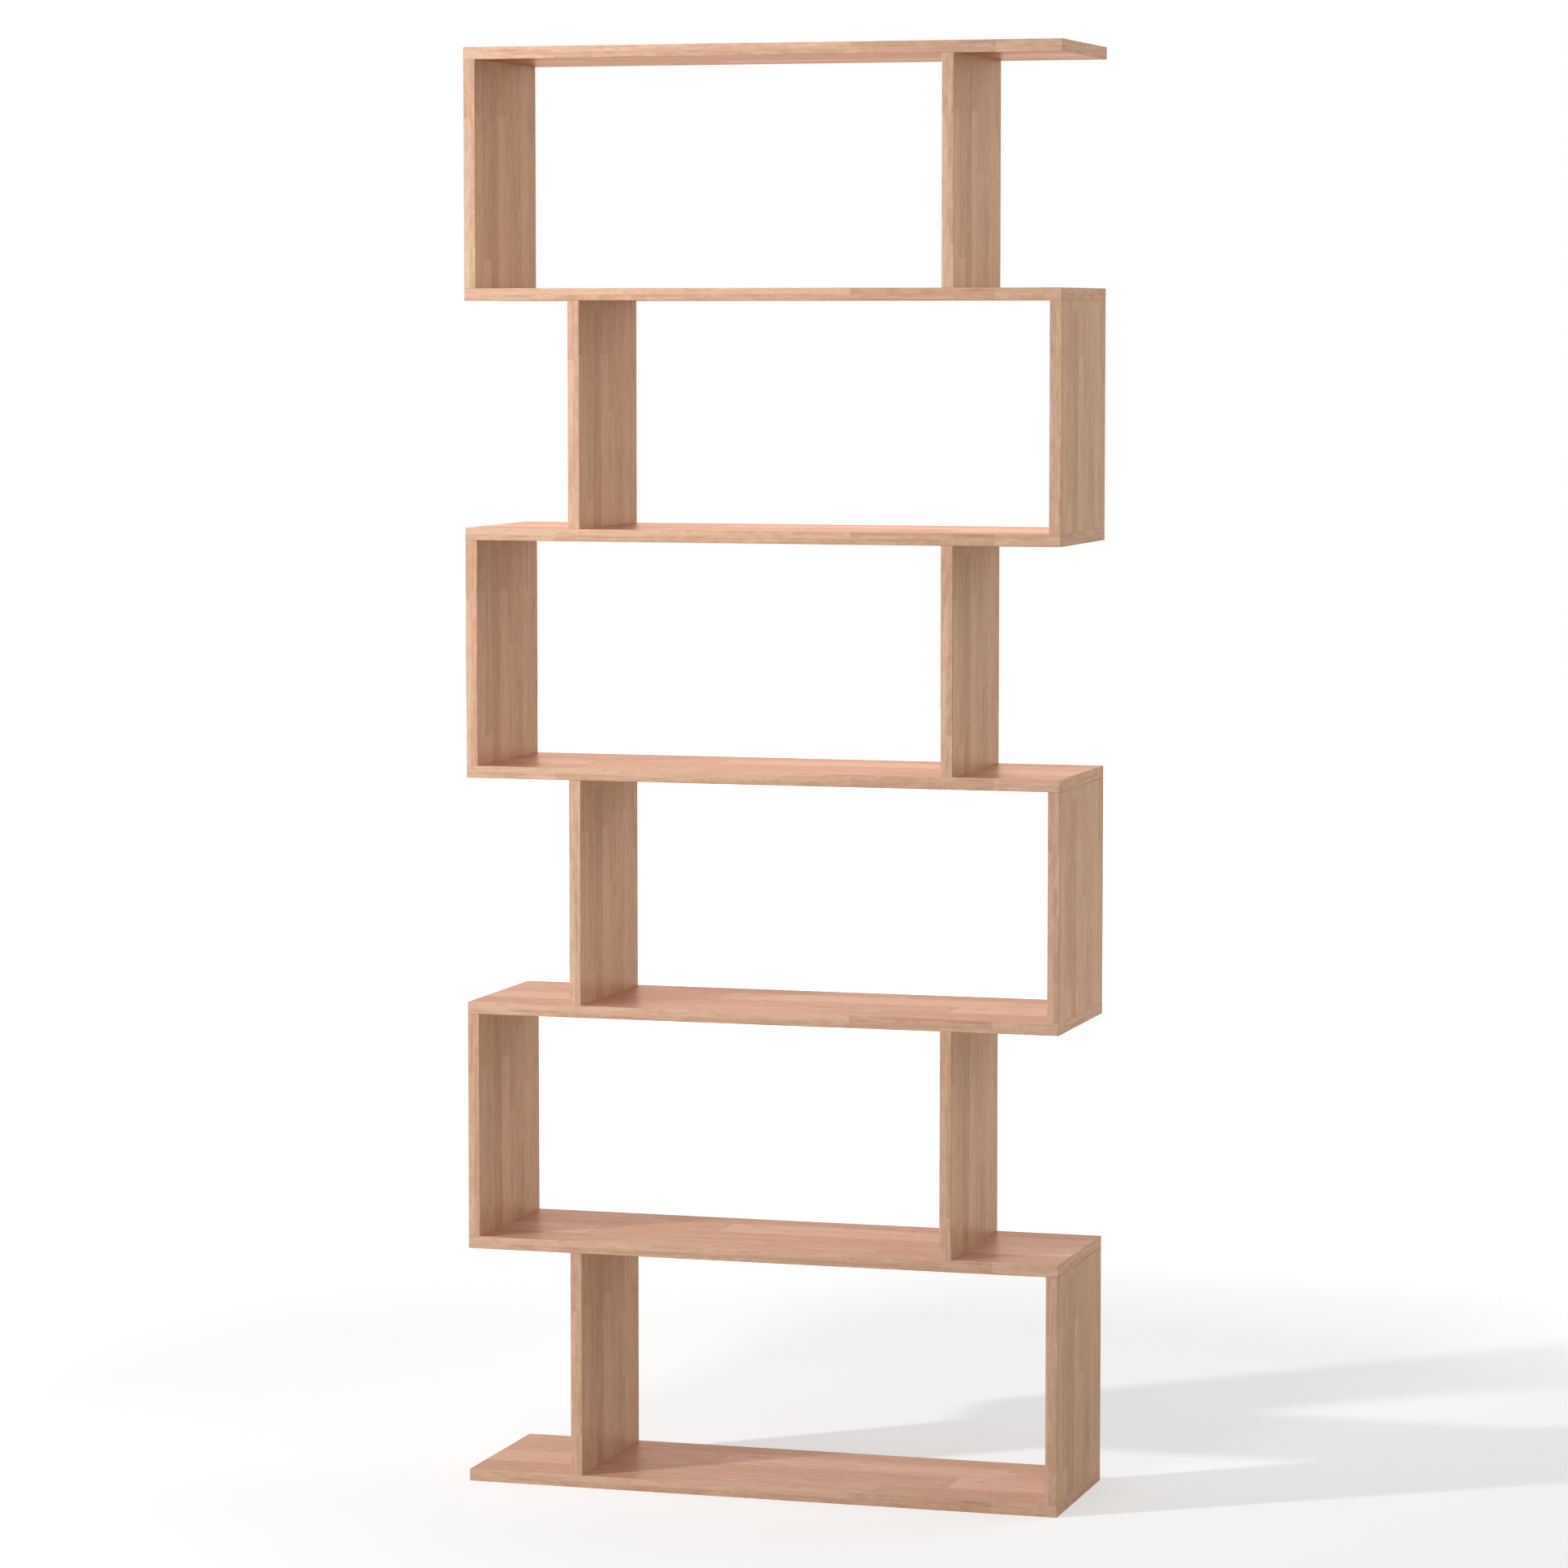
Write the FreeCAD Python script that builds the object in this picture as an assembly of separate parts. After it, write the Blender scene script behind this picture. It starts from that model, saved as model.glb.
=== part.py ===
import FreeCAD, Part
import itertools
import math
import os

# Zigzag bookshelf: full-width shelves carried by pairs of uprights that step from side to side.
# The origin is on the floor under the middle of the shelf. X runs along the width, the front
# faces -Y and Z is up. All sizes are in millimetres.

# Overall form
width = 800.0
depth = 240.0
board_thickness = 16.0
tier_count = 6
tier_opening = 295.5
overhang = 141.5

# Edging glued round the boards, with a flat land left beside its rounded arris
edging_thickness = 1.0
arris_land = 0.2

# Wood dowels, one on each side of the cam in every end of an upright
dowel_diameter = 8.0
dowel_length = 30.0
dowel_in_shelf = 10.0
dowel_chamfer = 1.0
dowel_offset = 64.0
glue_clearance = 0.1
hole_end_clearance = 0.5

# Connecting bolt, screwed into the shelf's face and held in the upright by its head
thread_diameter = 5.0
thread_length = 11.0
shank_diameter = 6.6
neck_diameter = 4.0
head_diameter = 6.0
head_thickness = 2.4
thread_clearance = 0.1
shank_clearance = 0.2
neck_clearance = 0.1

# Cam lock, an eccentric cup that turns in a blind pocket in the upright's left face
cam_setback = 24.0
cam_diameter = 14.8
cam_clearance = 0.1
cam_floor = 0.9
wall_at_lock = 3.0
wall_at_entry = 1.6
cavity_clearance = 0.4
seat_clearance = 0.1
shank_stop_gap = 0.6
slot_margin = 8.0
slot_sweep = 120.0
slot_steps = 4
drive_length = 7.0
drive_width = 1.4
drive_floor = 1.2

# Cap that closes the pocket flush with the board
cap_thickness = 1.2
cap_clearance = 0.1

# Sizes worked out from the ones above
tier_pitch = board_thickness + tier_opening
shelf_count = tier_count + 1
arris_radius = edging_thickness - arris_land
core_depth = depth - 2 * edging_thickness
core_width = width - 2 * edging_thickness
half_board = board_thickness / 2
flush_offset = width / 2 - half_board
inboard_offset = flush_offset - overhang
dowel_in_upright = dowel_length - dowel_in_shelf
dowel_radius = dowel_diameter / 2
head_radius = head_diameter / 2
cam_radius = cam_diameter / 2
pocket_radius = cam_radius + cam_clearance
cavity_width = head_diameter + 2 * cavity_clearance
cavity_radius = cam_radius - (wall_at_lock + wall_at_entry) / 2
cavity_shift = (wall_at_lock - wall_at_entry) / 2
slot_width = neck_diameter + 2 * neck_clearance
pocket_depth = half_board + cavity_width / 2 + cam_floor
cam_length = pocket_depth - cap_thickness
drive_depth = half_board - cavity_width / 2 - cap_thickness - drive_floor

up = FreeCAD.Vector(0, 0, 1)
along_x = FreeCAD.Vector(1, 0, 0)
along_y = FreeCAD.Vector(0, 1, 0)
origin = FreeCAD.Vector(0, 0, 0)


def placed(shape, position, axis=up, degrees=0.0):
    """Copy of a shape, turned about an axis through the origin and then moved."""
    placement = FreeCAD.Placement(position, FreeCAD.Rotation(axis, degrees))
    return shape.transformed(placement.toMatrix(), True)


def centred_box(length, breadth, height):
    """Box centred on the origin in X and Y, standing on Z = 0."""
    corner = FreeCAD.Vector(-length / 2, -breadth / 2, 0)
    return Part.makeBox(length, breadth, height, corner)


def revolved(profile):
    """Solid turned about the Z axis from a list of (radius, height) points."""
    points = [FreeCAD.Vector(radius, 0, height) for radius, height in profile]
    outline = Part.makePolygon(points + points[:1])
    return Part.Face(outline).revolve(origin, up, 360)


def edging_strip(length, rounds_corners):
    """Strip centred along X, outer face at Y = 0, with the arrises of that face rounded."""
    corner = FreeCAD.Vector(-length / 2, 0, -half_board)
    strip = Part.makeBox(length, edging_thickness, board_thickness, corner)
    half_strip = edging_thickness / 2
    arrises = [edge for edge in strip.Edges if edge.BoundBox.YMax < half_strip]
    if not rounds_corners:
        arrises = [edge for edge in arrises if edge.BoundBox.XLength > half_strip]
    return strip.makeFillet(arris_radius, arrises)


def shelf_edging(bottom):
    """Front, rear and end strips of the shelf that starts at the height given."""
    middle = bottom + half_board
    long_strip = edging_strip(width, True)
    end_strip = edging_strip(core_depth, False)
    front = placed(long_strip, FreeCAD.Vector(0, -depth / 2, middle))
    right = placed(end_strip, FreeCAD.Vector(width / 2, 0, middle), up, 90)
    rear = placed(long_strip, FreeCAD.Vector(0, depth / 2, middle), up, 180)
    left = placed(end_strip, FreeCAD.Vector(-width / 2, 0, middle), up, 270)
    return [front, right, rear, left]


def upright_edging(x, foot):
    """Front and rear strips of the upright whose middle is at x."""
    middle = foot + tier_opening / 2
    strip = placed(edging_strip(tier_opening, False), origin, along_y, 90)
    front = placed(strip, FreeCAD.Vector(x, -depth / 2, middle))
    rear = placed(strip, FreeCAD.Vector(x, depth / 2, middle), up, 180)
    return [front, rear]


def head_seat():
    """Height of the underside of the bolt's head, drawn against the cam's inner wall.

    The wall is a cylinder of cavity_radius, cavity_shift above the cam's axis, and is cut away
    over the slot's width. The head's rim meets it first at the slot's edges, sideways by
    sqrt(head_radius^2 - (slot_width / 2)^2) from the bolt's axis.
    """
    sideways = math.sqrt(head_radius ** 2 - (slot_width / 2) ** 2)
    wall_height = cavity_shift - math.sqrt(cavity_radius ** 2 - sideways ** 2)
    return cam_setback + wall_height + seat_clearance


# The joint's own frame: Z = 0 is the shelf's face, +Z runs into the upright, and X = 0 is the
# middle of the upright, whose left face is at -X.


def wood_dowel():
    """Dowel with chamfered ends, standing across the joint."""
    low = -dowel_in_shelf
    high = dowel_in_upright
    tip_radius = dowel_radius - dowel_chamfer
    return revolved([
        (0, low),
        (tip_radius, low),
        (dowel_radius, low + dowel_chamfer),
        (dowel_radius, high - dowel_chamfer),
        (tip_radius, high),
        (0, high),
    ])


def cam_bolt():
    """Turned bolt: thread in the shelf, shank in the upright, neck and head in the cam."""
    seat = head_seat()
    shank_top = cam_setback - cam_radius - shank_stop_gap
    return revolved([
        (0, -thread_length),
        (thread_diameter / 2, -thread_length),
        (thread_diameter / 2, 0),
        (shank_diameter / 2, 0),
        (shank_diameter / 2, shank_top),
        (neck_diameter / 2, shank_top),
        (neck_diameter / 2, seat),
        (head_radius, seat),
        (head_radius, seat + head_thickness),
        (0, seat + head_thickness),
    ])


def around_rim(degrees, distance):
    """Point at an angle round the cam's axis, from the bolt's side towards +Y."""
    angle = math.radians(degrees)
    return FreeCAD.Vector(0, distance * math.sin(angle), -distance * math.cos(angle))


def slot_lead():
    """Angle by which the slot runs on past the bolt, clear of the rim of its head."""
    wall_height = math.sqrt(cavity_radius ** 2 - head_radius ** 2) - cavity_shift
    return math.degrees(math.atan2(head_radius, wall_height)) + slot_margin


def cam_slot():
    """Slot round the cam's rim for the bolt's neck, ending in the hole that lets the head in."""
    reach = 2 * cam_radius
    start = -slot_lead()
    step = (slot_sweep - start) / slot_steps
    arc = [around_rim(start + index * step, reach) for index in range(slot_steps + 1)]
    outline = Part.makePolygon([origin] + arc + [origin])
    wedge = Part.Face(outline).extrude(along_x * slot_width)
    wedge.translate(along_x * (-slot_width / 2))
    entry = Part.makeCylinder(cavity_width / 2, reach, origin, around_rim(slot_sweep, 1))
    return wedge.fuse(entry)


def cam_lock():
    """Eccentric cup about an axis along X, closed on the bolt's head."""
    face_x = cap_thickness - half_board
    body = Part.makeCylinder(cam_radius, cam_length, FreeCAD.Vector(face_x, 0, 0), along_x)
    cavity_start = FreeCAD.Vector(-cavity_width / 2, 0, cavity_shift)
    cavity = Part.makeCylinder(cavity_radius, cavity_width, cavity_start, along_x)
    bar = Part.makeBox(drive_depth, drive_length, drive_width,
                       FreeCAD.Vector(face_x, -drive_length / 2, -drive_width / 2))
    cross_bar = placed(bar, origin, along_x, 90)
    cup = body.cut([cavity, cam_slot(), bar, cross_bar])
    return placed(cup.Solids[0], up * cam_setback)


def cover_cap():
    """Flat disc in the mouth of the cam's pocket."""
    centre = FreeCAD.Vector(-half_board, 0, cam_setback)
    return Part.makeCylinder(pocket_radius - cap_clearance, cap_thickness, centre, along_x)


def joint_cutters():
    """Holes of one joint, each drilled into both boards where it crosses the shelf's face."""
    dowel_hole_length = dowel_length + 2 * hole_end_clearance
    dowel_hole_end = -dowel_in_shelf - hole_end_clearance
    cutters = []
    for y in (-dowel_offset, dowel_offset):
        hole_end = FreeCAD.Vector(0, y, dowel_hole_end)
        cutters.append(Part.makeCylinder(dowel_radius + glue_clearance, dowel_hole_length, hole_end))
    thread_hole_length = thread_length + hole_end_clearance
    thread_hole_radius = thread_diameter / 2 + thread_clearance
    cutters.append(Part.makeCylinder(thread_hole_radius, thread_hole_length, up * -thread_hole_length))
    cutters.append(Part.makeCylinder(shank_diameter / 2 + shank_clearance, cam_setback))
    pocket_mouth = FreeCAD.Vector(-half_board, 0, cam_setback)
    cutters.append(Part.makeCylinder(pocket_radius, pocket_depth, pocket_mouth, along_x))
    return cutters


def at_joint(shapes, joint):
    """Copies of shapes from the joint's own frame, set in place at one end of an upright."""
    x, height, degrees = joint
    return [placed(shape, FreeCAD.Vector(x, 0, height), along_x, degrees) for shape in shapes]


def drilled(board, joints):
    """Board with the holes of its joints cut out of it."""
    cutters = []
    for joint in joints:
        cutters.extend(at_joint(joint_cutters(), joint))
    return board.cut(cutters).Solids[0]


def upright_places():
    """Tier, side and middle of each upright, from the floor up."""
    places = []
    for tier in range(tier_count):
        stands_right = tier % 2 == 0
        left_x = -inboard_offset if stands_right else -flush_offset
        right_x = flush_offset if stands_right else inboard_offset
        places.append((tier, "left", left_x))
        places.append((tier, "right", right_x))
    return places


def write(node, solids):
    """One file for each named piece or group of equal pieces."""
    Part.Compound(solids).exportStep(f"parts/{node}.step")


os.makedirs("parts", exist_ok=True)

shelf_joints = [[] for level in range(shelf_count)]
for tier, side, x in upright_places():
    name = f"upright_{tier + 1}_{side}"
    foot = tier * tier_pitch + board_thickness
    foot_joint = (x, foot, 0.0)
    head_joint = (x, foot + tier_opening, 180.0)
    shelf_joints[tier].append(foot_joint)
    shelf_joints[tier + 1].append(head_joint)
    core = placed(centred_box(board_thickness, core_depth, tier_opening), FreeCAD.Vector(x, 0, foot))
    write(name, [drilled(core, [foot_joint, head_joint])])
    write(f"{name}_edging", upright_edging(x, foot))

for level, joints in enumerate(shelf_joints):
    name = f"shelf_{level + 1}"
    bottom = level * tier_pitch
    core = placed(centred_box(core_width, core_depth, board_thickness), up * bottom)
    write(name, [drilled(core, joints)])
    write(f"{name}_edging", shelf_edging(bottom))

dowel_pair = [placed(wood_dowel(), along_y * y) for y in (-dowel_offset, dowel_offset)]
fasteners = {
    "wood_dowels": dowel_pair,
    "cam_bolts": [cam_bolt()],
    "cam_locks": [cam_lock()],
    "cover_caps": [cover_cap()],
}
for node, shapes in fasteners.items():
    solids = []
    for joint in itertools.chain.from_iterable(shelf_joints):
        solids.extend(at_joint(shapes, joint))
    write(node, solids)
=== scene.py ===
import math

import bpy
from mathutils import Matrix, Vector


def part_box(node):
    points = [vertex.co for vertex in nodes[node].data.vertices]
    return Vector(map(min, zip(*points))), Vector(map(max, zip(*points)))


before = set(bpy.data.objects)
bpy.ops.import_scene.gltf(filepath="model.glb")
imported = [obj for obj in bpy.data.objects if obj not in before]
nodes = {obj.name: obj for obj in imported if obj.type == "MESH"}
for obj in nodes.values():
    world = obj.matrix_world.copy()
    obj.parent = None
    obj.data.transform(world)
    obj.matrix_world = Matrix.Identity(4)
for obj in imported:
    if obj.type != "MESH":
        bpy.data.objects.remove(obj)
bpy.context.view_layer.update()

# Zigzag bookshelf of boards faced and edged with lacquered beech staves, held together by hidden
# dowels and cam locks. Lengths are in metres, and the pattern on a board is laid out from the
# board's own left, front and lowest corner.
MM = 0.001

# Board sizes, read from the frame
shelf_low, shelf_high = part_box("shelf_1_edging")
upright_low, upright_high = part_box("upright_1_left_edging")
SHELF_WIDTH = shelf_high.x - shelf_low.x
SHELF_DEPTH = shelf_high.y - shelf_low.y
BOARD_THICKNESS = shelf_high.z - shelf_low.z
UPRIGHT_HEIGHT = upright_high.z - upright_low.z

# Beech from straw through tan to rose, pinkest on the shelves' faces and yellowest on the uprights',
# and the brown of its rays and pin knots
SHELF_BEECH = ("#E0B8A1", "#D4AA93", "#C89C85")
UPRIGHT_BEECH = ("#D8B394", "#CCA586", "#C09778")
EDGING_BEECH = ("#D7B196", "#CBA388", "#BF957A")
BROWN_BEECH = "#8E6650"

# Rows of staves, listed across the grain. Each stave has its start along the grain in millimetres,
# and its tone: 0 is straw and 1 is rose.
SHELF_STAVES = (
    ((0, 0.92), (151, 0.68), (539, 0.88)),
    ((0, 0.36), (140, 0.80), (631, 0.28)),
    ((0, 0.72), (300, 0.38), (681, 0.54)),
    ((0, 0.60), (206, 0.82), (540, 0.88)),
)
UPRIGHT_STAVES = (
    ((0, 0.22), (221, 0.48)),
    ((0, 0.08), (36, 0.50)),
    ((0, 0.70), (282, 0.38)),
    ((0, 0.12), (218, 0.44)),
    ((0, 0.34), (150, 0.48)),
    ((0, 0.56), (96, 0.40)),
    ((0, 0.20), (176, 0.26)),
    ((0, 0.38), (205, 0.56)),
)
SHELF_EDGE_STAVES = (
    ((0, 0.46), (124, 0.66), (709, 0.38), (860, 0.44)),
    ((0, 0.26), (124, 0.22), (518, 0.70), (709, 0.34), (925, 0.22), (979, 0.40)),
)
UPRIGHT_EDGE_STAVES = (
    ((0, 0.32), (218, 0.62)),
    ((0, 0.56), (52, 0.60)),
)

# Pin knots and mineral streaks: place along and across the grain, length and breadth, in millimetres
SHELF_MARKS = (
    (80, 52, 12, 7),
    (345, 180, 34, 9),
    (465, 87, 16, 6),
    (672, 109, 24, 8),
)
UPRIGHT_MARKS = (
    (195, 98, 20, 4),
    (200, 226, 26, 8),
    (76, 204, 60, 4),
)
SHELF_EDGE_MARKS = (
    (74, 6, 44, 3),
    (690, 13, 60, 3),
)

# Staves of a shelf's face. The last row is cut narrower by the shelf's rear edge.
SHELF_STAVE_WIDTH = 65 * MM

# Fibres are finer than a hair, and are drawn this wide so that they show. The narrow edging has
# finer ones, and a livelier figure.
FACE_FIBRE_WIDTH = 2.2 * MM
EDGE_FIBRE_WIDTH = 1.4 * MM
FACE_FIGURE = 1.0
EDGE_FIGURE = 1.3

# How each kind of board is laid out. The grain runs along one set of weights of X, Y and Z, and
# the rows are counted along another. A shelf's edging is followed round its corners by X plus Y.
LAYOUTS = {
    "shelf": {
        "tones": SHELF_BEECH,
        "along": (1, 0, 0),
        "across": (0, 1, 0),
        "length": SHELF_WIDTH,
        "stave_width": SHELF_STAVE_WIDTH,
        "staves": SHELF_STAVES,
        "fibre_width": FACE_FIBRE_WIDTH,
        "figure": FACE_FIGURE,
        "marks": SHELF_MARKS,
    },
    "upright": {
        "tones": UPRIGHT_BEECH,
        "along": (0, 0, 1),
        "across": (0, 1, 0),
        "length": UPRIGHT_HEIGHT,
        "stave_width": SHELF_DEPTH / len(UPRIGHT_STAVES),
        "staves": UPRIGHT_STAVES,
        "fibre_width": FACE_FIBRE_WIDTH,
        "figure": FACE_FIGURE,
        "marks": UPRIGHT_MARKS,
    },
    "shelf_edging": {
        "tones": EDGING_BEECH,
        "along": (1, 1, 0),
        "across": (0, 0, 1),
        "length": SHELF_WIDTH + SHELF_DEPTH,
        "stave_width": BOARD_THICKNESS / len(SHELF_EDGE_STAVES),
        "staves": SHELF_EDGE_STAVES,
        "fibre_width": EDGE_FIBRE_WIDTH,
        "figure": EDGE_FIGURE,
        "marks": SHELF_EDGE_MARKS,
    },
    "upright_edging": {
        "tones": EDGING_BEECH,
        "along": (0, 0, 1),
        "across": (1, 0, 0),
        "length": UPRIGHT_HEIGHT,
        "stave_width": BOARD_THICKNESS / len(UPRIGHT_EDGE_STAVES),
        "staves": UPRIGHT_EDGE_STAVES,
        "fibre_width": EDGE_FIBRE_WIDTH,
        "figure": EDGE_FIGURE,
        "marks": (),
    },
}

# A row of staves takes a little more of the ramp than its board is long, so that rounding at the
# board's end never reaches the next row.
ROW_SPARE = 1.02

# The noises are cut into slices, one for each stave. A board's staves are spread over some slices,
# and the next board starts a few slices on.
SLICE = 1
SLICES_OF_BOARD = 40.0
SLICES_TO_NEXT_BOARD = 7.3

# Figure of beech, as lengths along and across the grain
GROWTH_STREAK = (220 * MM, 9 * MM, SLICE)
FIBRE_LENGTH = 70 * MM
FLECK = (16 * MM, 6 * MM, SLICE)
RING_ARCH = (330 * MM, 46 * MM, SLICE)
RAY_CELL = (9 * MM, 1.8 * MM, SLICE)

# Radians of ring over the full height of a hill of noise, and a ray's core and rim in its cell
RING_RATE = 70.0
RAY_CORE = 0.10
RAY_RIM = 0.34

# How far each feature can move a stave's tone, where 1 is the way from straw to rose
GROWTH_SHIFT = 1.0
FIBRE_SHIFT = 1.2
FLECK_SHIFT = 0.8
RING_SHIFT = 0.08

# How brown rays and marks get, and the uneven rim of a mark, counted in its own half size
RAY_BROWN = 0.26
MARK_BROWN = 0.5
MARK_CORE = 0.8
MARK_RIM = 1.9
MARK_WAVER = 1.6

# Satin lacquer: dull with a weak shine, roughest on the fibres, which still stand a little proud
LACQUER_SHINE = 0.2
LACQUER_ROUGHNESS = (0.70, 0.84)
FIBRE_LEVELS = (0.3, 0.7)
LACQUER_RELIEF = 0.1 * MM
LACQUER_RELIEF_STRENGTH = 0.2
LACQUER_IOR = 1.5
GLEAM_ROUGHNESS = 0.3

# Floor: half its side, its paint, and the white glow that it is seen with, near the shelf and far from
# it, which rises between two distances
WHITE = "#FFFFFF"
FLOOR_HALF = 14.0
FLOOR_PAINT = "#CECECE"
FLOOR_GLOW_NEAR = 0.44
FLOOR_GLOW_FAR = 1.0
GLOW_RISE = (1.2, 4.0)

# Strength of the light that comes evenly from all round
AMBIENT = 0.43

# Square soft boxes: place, aim and side in metres, spread in degrees and power in watts
LAMPS = (
    {
        "name": "overhead",
        "place": (-0.44, -2.40, 4.46),
        "aim": (-0.16, 0.0, 1.41),
        "size": 0.9,
        "spread": 24,
        "power": 1.6,
    },
    {
        "name": "left",
        "place": (-3.50, -2.75, 2.20),
        "aim": (0.0, 0.0, 0.94),
        "size": 0.2,
        "spread": 180,
        "power": 165,
    },
    {
        "name": "behind",
        "place": (-0.95, 3.20, 2.60),
        "aim": (-0.10, 0.0, 1.60),
        "size": 2.4,
        "spread": 60,
        "power": 1.7,
    },
    {
        "name": "right",
        "place": (2.60, 2.40, 2.40),
        "aim": (0.30, 0.0, 1.25),
        "size": 2.0,
        "spread": 180,
        "power": 23,
    },
)

# Camera: lens in millimetres, place in metres, and its turns down and to the left in degrees
CAMERA_LENS = 126.25
CAMERA_PLACE = (2.0498, -6.8856, 1.5348)
CAMERA_DOWN = 4.842
CAMERA_TURN = 16.588

# Colour sockets of a Mix node, which share their names with its other sockets
MIX_FROM = 6
MIX_TO = 7
MIX_RESULT = 2


def linear(hex_colour):
    """sRGB hex to linear RGBA: a straight part up to 0.04045 and a power of 2.4 above it."""
    levels = [int(hex_colour[start:start + 2], 16) / 255 for start in (1, 3, 5)]
    curve = [
        level / 12.92 if level <= 0.04045 else ((level + 0.055) / 1.055) ** 2.4
        for level in levels
    ]
    return (*curve, 1.0)


def add(tree, kind, inputs, output=0, **settings):
    """Adds a node with its settings, sets or links the inputs named, and gives one of its outputs."""
    made = tree.nodes.new(kind)
    for name, value in settings.items():
        setattr(made, name, value)
    for key, value in inputs.items():
        if isinstance(value, bpy.types.NodeSocket):
            tree.links.new(value, made.inputs[key])
        else:
            made.inputs[key].default_value = value
    return made.outputs[output]


def new_material(name):
    """A material with a Principled shader: the material, its node tree and the shader's sockets."""
    material = bpy.data.materials.new(name)
    material.use_nodes = True
    return material, material.node_tree, material.node_tree.nodes["Principled BSDF"].inputs


def counted_in(tree, place, size):
    """A place counted in steps of this size along each axis, so that a pattern there is that large."""
    scale = [1 / step for step in size]
    return add(tree, "ShaderNodeVectorMath", {0: place, 1: scale}, operation="MULTIPLY")


def place_on_board(tree, corner, along, across):
    """Metres along and across the grain from a board's corner, as dot products of Object coordinates."""
    place = add(tree, "ShaderNodeTexCoord", {}, output="Object")
    local = add(tree, "ShaderNodeVectorMath", {0: place, 1: corner}, operation="SUBTRACT")
    run = add(tree, "ShaderNodeVectorMath", {0: local, 1: along}, "Value", operation="DOT_PRODUCT")
    side = add(tree, "ShaderNodeVectorMath", {0: local, 1: across}, "Value", operation="DOT_PRODUCT")
    return run, side


def stave_at(tree, run, side, length, stave_width, staves):
    """Tone of the stave at a place, and its share of the count, from one ramp that holds all the rows.

    The ramp's position is (row + run / span) / rows, where the span is a little over the length.
    Its red holds the tones, and its green the shares.
    """
    span = ROW_SPARE * length
    rows = len(staves)
    row = add(tree, "ShaderNodeMath", {0: side, 1: stave_width}, operation="DIVIDE")
    row = add(tree, "ShaderNodeMath", {0: row}, operation="FLOOR")
    spot = add(tree, "ShaderNodeMath", {0: run, 1: 1 / span, 2: row}, operation="MULTIPLY_ADD")
    spot = add(tree, "ShaderNodeMath", {0: spot, 1: rows}, operation="DIVIDE")
    stave = add(tree, "ShaderNodeValToRGB", {"Fac": spot})
    ramp = stave.node.color_ramp
    ramp.interpolation = "CONSTANT"
    ramp.elements.remove(ramp.elements[1])
    listed = [(index, *entry) for index, entries in enumerate(staves) for entry in entries]
    for number, (index, start, tone) in enumerate(listed):
        position = (index + start * MM / span) / rows
        step = ramp.elements.new(position) if number else ramp.elements[0]
        step.color = (tone, number / len(listed), 0, 1)
    parts = add(tree, "ShaderNodeSeparateColor", {"Color": stave}).node.outputs
    return parts["Red"], parts["Green"]


def beech_figure(tree, grain, fibre_width):
    """What growth and the saw leave in beech: streaks, fibres, flecks, rings and rays."""
    growth = counted_in(tree, grain, GROWTH_STREAK)
    growth = add(tree, "ShaderNodeTexNoise", {"Vector": growth, "Scale": 1.0, "Detail": 3.0})
    fibre = counted_in(tree, grain, (FIBRE_LENGTH, fibre_width, SLICE))
    fibre = add(tree, "ShaderNodeTexNoise", {"Vector": fibre, "Scale": 1.0, "Detail": 2.0})
    # Flecks are where the saw met the rays at a slant, and mottle the face.
    flecks = counted_in(tree, grain, FLECK)
    flecks = add(tree, "ShaderNodeTexNoise", {"Vector": flecks, "Scale": 1.0, "Detail": 1.0})
    # Rings are the contour lines of a broad hill of noise, which closes them into long arches.
    hill = counted_in(tree, grain, RING_ARCH)
    hill = add(tree, "ShaderNodeTexNoise", {"Vector": hill, "Scale": 1.0, "Detail": 0.0})
    rings = add(tree, "ShaderNodeMath", {0: hill, 1: RING_RATE}, operation="MULTIPLY")
    rings = add(tree, "ShaderNodeMath", {0: rings}, operation="SINE")
    # Rays are dashes 3 mm long and 0.3 mm wide, drawn up to three times coarser so that they show.
    rays = counted_in(tree, grain, RAY_CELL)
    rays = add(tree, "ShaderNodeTexVoronoi", {"Vector": rays, "Scale": 1.0})
    rim = {"From Min": RAY_CORE, "From Max": RAY_RIM, "To Min": 1.0, "To Max": 0.0}
    rays = add(tree, "ShaderNodeMapRange", {"Value": rays, **rim})
    return growth, fibre, flecks, rings, rays


def with_marks(tree, brown, run, side, waver, marks):
    """Adds the brown marks to what is brown already: ellipses whose rims a noise makes uneven."""
    rim = {"From Min": MARK_CORE, "From Max": MARK_RIM, "To Min": MARK_BROWN, "To Max": 0.0}
    for at, off, length, breadth in marks:
        centre = (at * MM, off * MM, 0)
        reach = add(tree, "ShaderNodeCombineXYZ", {0: run, 1: side})
        reach = add(tree, "ShaderNodeVectorMath", {0: reach, 1: centre}, operation="SUBTRACT")
        reach = counted_in(tree, reach, (length * MM / 2, breadth * MM / 2, 1))
        reach = add(tree, "ShaderNodeVectorMath", {0: reach}, "Value", operation="LENGTH")
        reach = add(tree, "ShaderNodeMath", {0: waver, 1: MARK_WAVER, 2: reach}, operation="MULTIPLY_ADD")
        mark = add(tree, "ShaderNodeMapRange", {"Value": reach, **rim})
        brown = add(tree, "ShaderNodeMath", {0: brown, 1: mark}, operation="MAXIMUM")
    return brown


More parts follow.
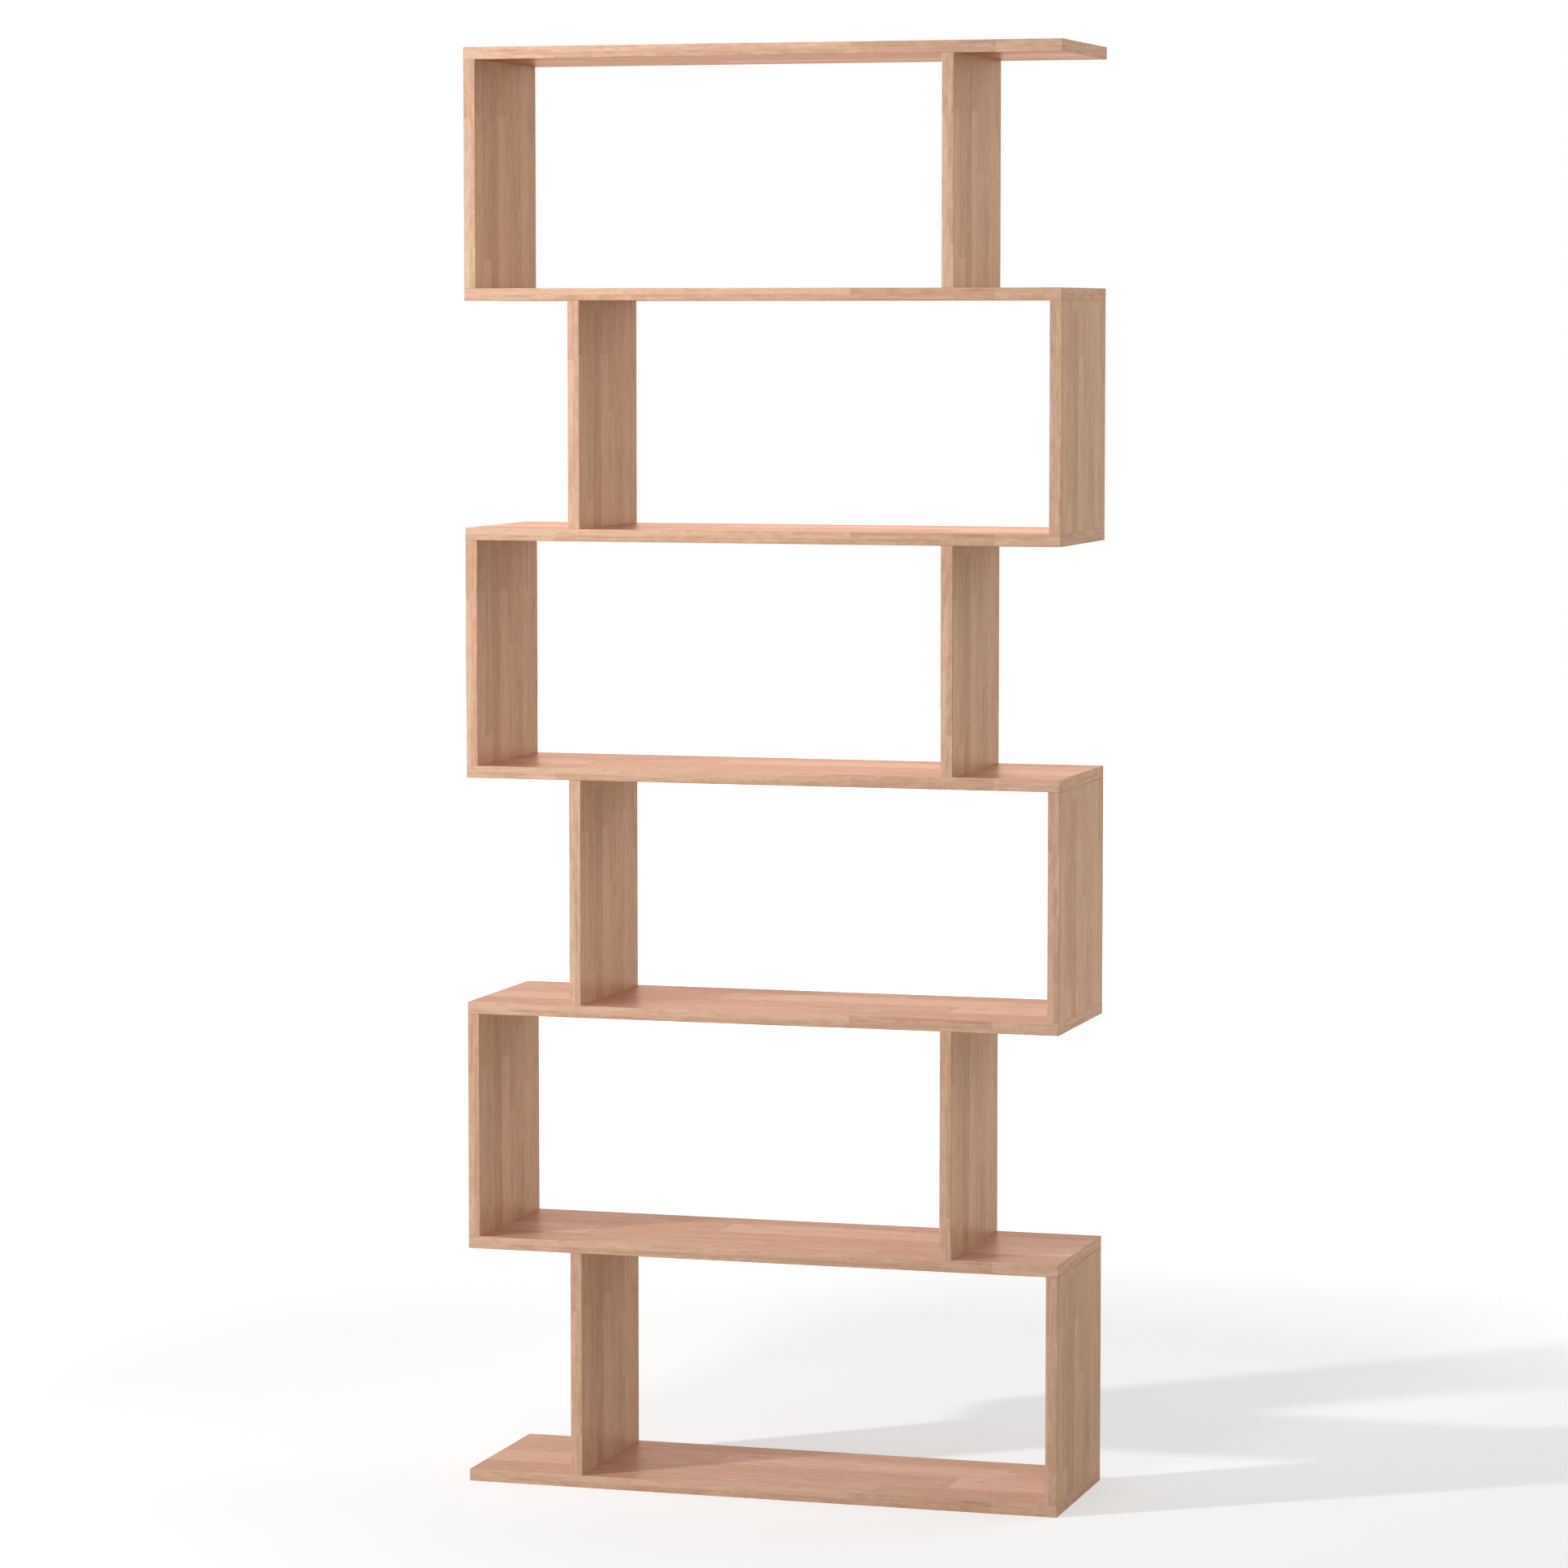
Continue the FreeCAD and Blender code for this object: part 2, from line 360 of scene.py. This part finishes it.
def seal_with_lacquer(tree, shader, wood, fibre, rays):
    """Satin lacquer: a weak even shine, and a gleam in the wood's own colour, most at low angles.

    Cut fibres under the lacquer mirror the room, by the share that a Fresnel curve gives.
    """
    shader["Specular IOR Level"].default_value = LACQUER_SHINE
    low, high = FIBRE_LEVELS
    smooth, rough = LACQUER_ROUGHNESS
    ends = {"From Min": low, "From Max": high, "To Min": smooth, "To Max": rough}
    gloss = add(tree, "ShaderNodeMapRange", {"Value": fibre, **ends})
    tree.links.new(gloss, shader["Roughness"])
    height = add(tree, "ShaderNodeMath", {0: fibre, 1: rays}, operation="SUBTRACT")
    amount = {"Strength": LACQUER_RELIEF_STRENGTH, "Distance": LACQUER_RELIEF}
    relief = add(tree, "ShaderNodeBump", {"Height": height, **amount})
    tree.links.new(relief, shader["Normal"])
    mirror = {"Color": wood, "Roughness": GLEAM_ROUGHNESS, "Normal": relief}
    gleam = add(tree, "ShaderNodeBsdfGlossy", mirror)
    share = add(tree, "ShaderNodeFresnel", {"IOR": LACQUER_IOR, "Normal": relief})
    body = tree.nodes["Principled BSDF"].outputs["BSDF"]
    surface = add(tree, "ShaderNodeMixShader", {0: share, 1: body, 2: gleam})
    tree.links.new(surface, tree.nodes["Material Output"].inputs["Surface"])


def lacquered_beech(name, corner, first_slice, tones, along, across, length, stave_width, staves,
                    fibre_width, figure, marks):
    """Beech staves laid edge to edge and butted end to end, sanded and sealed with a satin lacquer.

    The eye gets strips that differ a little in tone, long soft growth streaks, arched rings,
    hair-fine fibres and the short brown dashes of the rays.
    """
    material, tree, shader = new_material(name)
    run, side = place_on_board(tree, corner, along, across)
    tone, share = stave_at(tree, run, side, length, stave_width, staves)
    slices = {0: share, 1: SLICES_OF_BOARD, 2: first_slice}
    own_slice = add(tree, "ShaderNodeMath", slices, operation="MULTIPLY_ADD")
    grain = add(tree, "ShaderNodeCombineXYZ", {0: run, 1: side, 2: own_slice})
    growth, fibre, flecks, rings, rays = beech_figure(tree, grain, fibre_width)

    # A noise is at rest in the middle of its range, and a sine at nought.
    shifts = (
        (growth, 0.5, GROWTH_SHIFT),
        (fibre, 0.5, FIBRE_SHIFT),
        (flecks, 0.5, FLECK_SHIFT),
        (rings, 0.0, RING_SHIFT),
    )
    for feature, rest, weight in shifts:
        shift = add(tree, "ShaderNodeMath", {0: feature, 1: rest}, operation="SUBTRACT")
        shifted = {0: shift, 1: figure * weight, 2: tone}
        tone = add(tree, "ShaderNodeMath", shifted, operation="MULTIPLY_ADD")
    # Straw, tan and rose are spread evenly over the tones.
    wood = add(tree, "ShaderNodeValToRGB", {"Fac": tone})
    ramp = wood.node.color_ramp
    ramp.elements.new(0.5)
    for step, colour in zip(ramp.elements, tones):
        step.color = linear(colour)

    brown = add(tree, "ShaderNodeMath", {0: rays, 1: RAY_BROWN}, operation="MULTIPLY")
    brown = with_marks(tree, brown, run, side, fibre, marks)
    stain = {"Factor": brown, MIX_FROM: wood, MIX_TO: linear(BROWN_BEECH)}
    wood = add(tree, "ShaderNodeMix", stain, MIX_RESULT, data_type="RGBA")
    tree.links.new(wood, shader["Base Color"])
    seal_with_lacquer(tree, shader, wood, fibre, rays)
    return material


def dress_boards():
    """Gives every board and its edging the staves of its kind, counted from the board's corner."""
    boards = [name for name in nodes if f"{name}_edging" in nodes]
    for number, board in enumerate(boards):
        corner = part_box(f"{board}_edging")[0]
        first_slice = SLICES_TO_NEXT_BOARD * number
        kind = board.split("_")[0]
        for suffix in ("", "_edging"):
            part = board + suffix
            finish = lacquered_beech(f"beech_{part}", corner, first_slice, **LAYOUTS[kind + suffix])
            nodes[part].material_slots[0].material = finish


def finish_fitting(tree, shader, tint, tones, gloss, roughness, height, relief, strength):
    """Tints a fitting between two tones, and gives it a range of roughness and a relief."""
    pale, dark = tones
    blend = {"Factor": tint, MIX_FROM: linear(pale), MIX_TO: linear(dark)}
    colour = add(tree, "ShaderNodeMix", blend, MIX_RESULT, data_type="RGBA")
    tree.links.new(colour, shader["Base Color"])
    smooth, rough = roughness
    sheen = add(tree, "ShaderNodeMapRange", {"Value": gloss, "To Min": smooth, "To Max": rough})
    tree.links.new(sheen, shader["Roughness"])
    bump = add(tree, "ShaderNodeBump", {"Height": height, "Distance": relief, "Strength": strength})
    tree.links.new(bump, shader["Normal"])


def turned_beech_rod():
    """Raw beech dowel rod: paler than the boards, dry, with fibres running up the rod."""
    # Fibres are finer than a hair, and are drawn wider so that they show.
    fibre_width = 1.5 * MM
    fibre_length = 30 * MM
    material, tree, shader = new_material("raw_beech_rod")
    place = add(tree, "ShaderNodeTexCoord", {}, output="Object")
    fibre = counted_in(tree, place, (fibre_width, fibre_width, fibre_length))
    fibre = add(tree, "ShaderNodeTexNoise", {"Vector": fibre, "Scale": 1.0, "Detail": 2.0})
    finish_fitting(
        tree, shader,
        tint=fibre, tones=("#E3C49E", "#C79F78"),
        gloss=fibre, roughness=(0.68, 0.85),
        height=fibre, relief=0.1 * MM, strength=0.3,
    )
    return material


def zinc_plated_steel():
    """Turned steel with a thin zinc plate: bright, with faint rings of the turning tool up the pin."""
    # The tool leaves about ten rings to the millimetre, which are drawn coarser so that they show.
    ring_spacing = 0.6 * MM
    bloom_size = 6 * MM
    material, tree, shader = new_material("zinc_plated_steel")
    shader["Metallic"].default_value = 1.0
    place = add(tree, "ShaderNodeTexCoord", {}, output="Object")
    rings = counted_in(tree, place, (math.inf, math.inf, ring_spacing))
    rings = add(tree, "ShaderNodeTexNoise", {"Vector": rings, "Scale": 1.0, "Detail": 1.0})
    bloom = counted_in(tree, place, [bloom_size] * 3)
    bloom = add(tree, "ShaderNodeTexNoise", {"Vector": bloom, "Scale": 1.0, "Detail": 2.0})
    finish_fitting(
        tree, shader,
        tint=bloom, tones=("#C9CBCE", "#AEB1B4"),
        gloss=bloom, roughness=(0.26, 0.42),
        height=rings, relief=0.05 * MM, strength=0.25,
    )
    return material


def die_cast_zinc():
    """Zinc alloy cast in a die: dull grey, with a fine cast skin and darker cold-flow clouds."""
    # The grain of the skin is about 0.2 mm across, and is drawn coarser so that it shows.
    grain_size = 0.7 * MM
    cloud_size = 5 * MM
    material, tree, shader = new_material("die_cast_zinc")
    shader["Metallic"].default_value = 1.0
    place = add(tree, "ShaderNodeTexCoord", {}, output="Object")
    flow = counted_in(tree, place, [cloud_size] * 3)
    flow = add(tree, "ShaderNodeTexNoise", {"Vector": flow, "Scale": 1.0, "Detail": 3.0})
    skin = counted_in(tree, place, [grain_size] * 3)
    skin = add(tree, "ShaderNodeTexNoise", {"Vector": skin, "Scale": 1.0, "Detail": 1.0})
    finish_fitting(
        tree, shader,
        tint=flow, tones=("#B4B5B6", "#8E9092"),
        gloss=flow, roughness=(0.42, 0.58),
        height=skin, relief=0.1 * MM, strength=0.3,
    )
    return material


def moulded_abs():
    """Wood-tone ABS moulded in a fine-spark die: matt, with slow swirls of pigment."""
    # Spark texture is about 0.1 mm across, and is drawn six times coarser so that it shows.
    spark_size = 0.6 * MM
    swirl_size = 7 * MM
    abs_ior = 1.54
    material, tree, shader = new_material("wood_tone_abs")
    shader["IOR"].default_value = abs_ior
    place = add(tree, "ShaderNodeTexCoord", {}, output="Object")
    swirl = counted_in(tree, place, [swirl_size] * 3)
    swirl = add(tree, "ShaderNodeTexNoise", {"Vector": swirl, "Scale": 1.0, "Detail": 1.0})
    spark = counted_in(tree, place, [spark_size] * 3)
    spark = add(tree, "ShaderNodeTexNoise", {"Vector": spark, "Scale": 1.0, "Detail": 1.0})
    finish_fitting(
        tree, shader,
        tint=swirl, tones=("#D0AA8A", "#C79D7C"),
        gloss=spark, roughness=(0.50, 0.66),
        height=spark, relief=0.05 * MM, strength=0.2,
    )
    return material


def dress_fittings():
    """Gives each group of fittings its own finish."""
    finishes = {
        "wood_dowels": turned_beech_rod(),
        "cam_bolts": zinc_plated_steel(),
        "cam_locks": die_cast_zinc(),
        "cover_caps": moulded_abs(),
    }
    for name, finish in finishes.items():
        nodes[name].material_slots[0].material = finish


def seen_directly(tree):
    """One for rays from the camera, a mirror or glass, and nought for rays that carry light."""
    path = add(tree, "ShaderNodeLightPath", {}, output="Is Camera Ray")
    rays = path.node.outputs
    seen = add(tree, "ShaderNodeMath", {0: path, 1: rays["Is Glossy Ray"]}, operation="MAXIMUM")
    return add(tree, "ShaderNodeMath", {0: seen, 1: rays["Is Transmission Ray"]}, operation="MAXIMUM")


def add_floor():
    """Matt painted floor that keeps the shadow near the shelf and runs out to plain white far from it."""
    mesh = bpy.data.meshes.new("floor")
    corners = [(x * FLOOR_HALF, y * FLOOR_HALF, 0) for x, y in ((-1, -1), (1, -1), (1, 1), (-1, 1))]
    mesh.from_pydata(corners, [], [(0, 1, 2, 3)])
    floor = bpy.data.objects.new("floor", mesh)
    bpy.context.scene.collection.objects.link(floor)
    material, tree, shader = new_material("matt_floor_paint")
    shader["Base Color"].default_value = linear(FLOOR_PAINT)
    shader["Roughness"].default_value = 1.0
    shader["Specular IOR Level"].default_value = 0.0
    shader["Emission Color"].default_value = linear(WHITE)
    place = add(tree, "ShaderNodeTexCoord", {}, output="Object")
    reach = add(tree, "ShaderNodeVectorMath", {0: place}, "Value", operation="LENGTH")
    near, far = GLOW_RISE
    rise = {"From Min": near, "From Max": far, "To Min": FLOOR_GLOW_NEAR, "To Max": FLOOR_GLOW_FAR}
    glow = add(tree, "ShaderNodeMapRange", {"Value": reach, **rise})
    glow = add(tree, "ShaderNodeMath", {0: glow, 1: seen_directly(tree)}, operation="MULTIPLY")
    tree.links.new(glow, shader["Emission Strength"])
    mesh.materials.append(material)


def add_lamp(name, place, aim, size, spread, power):
    """Square soft box whose light thins out towards the rim of its spread, as behind a grid."""
    data = bpy.data.lights.new(name, "AREA")
    data.size = size
    data.spread = math.radians(spread)
    data.energy = power
    lamp = bpy.data.objects.new(name, data)
    lamp.location = place
    lamp.visible_camera = False
    lamp.rotation_euler = (Vector(aim) - lamp.location).to_track_quat("-Z", "Y").to_euler()
    bpy.context.scene.collection.objects.link(lamp)


def light_world():
    """An even light from all round, with white behind everything that is seen directly."""
    world = bpy.data.worlds.new("studio")
    world.use_nodes = True
    bpy.context.scene.world = world
    tree = world.node_tree
    levels = {"Value": seen_directly(tree), "To Min": AMBIENT, "To Max": 1.0}
    strength = add(tree, "ShaderNodeMapRange", levels)
    background = tree.nodes["Background"].inputs
    tree.links.new(strength, background["Strength"])
    background["Color"].default_value = linear(WHITE)


def add_camera():
    """Camera at the photographed angle: in front, to the right, and turned slightly down."""
    data = bpy.data.cameras.new("camera")
    data.lens = CAMERA_LENS
    camera = bpy.data.objects.new("camera", data)
    camera.location = CAMERA_PLACE
    camera.rotation_euler = (math.radians(90 - CAMERA_DOWN), 0, math.radians(CAMERA_TURN))
    bpy.context.scene.collection.objects.link(camera)
    bpy.context.scene.camera = camera


dress_boards()
dress_fittings()
add_floor()
for lamp in LAMPS:
    add_lamp(**lamp)
light_world()
add_camera()
bpy.context.scene.view_settings.view_transform = "Standard"
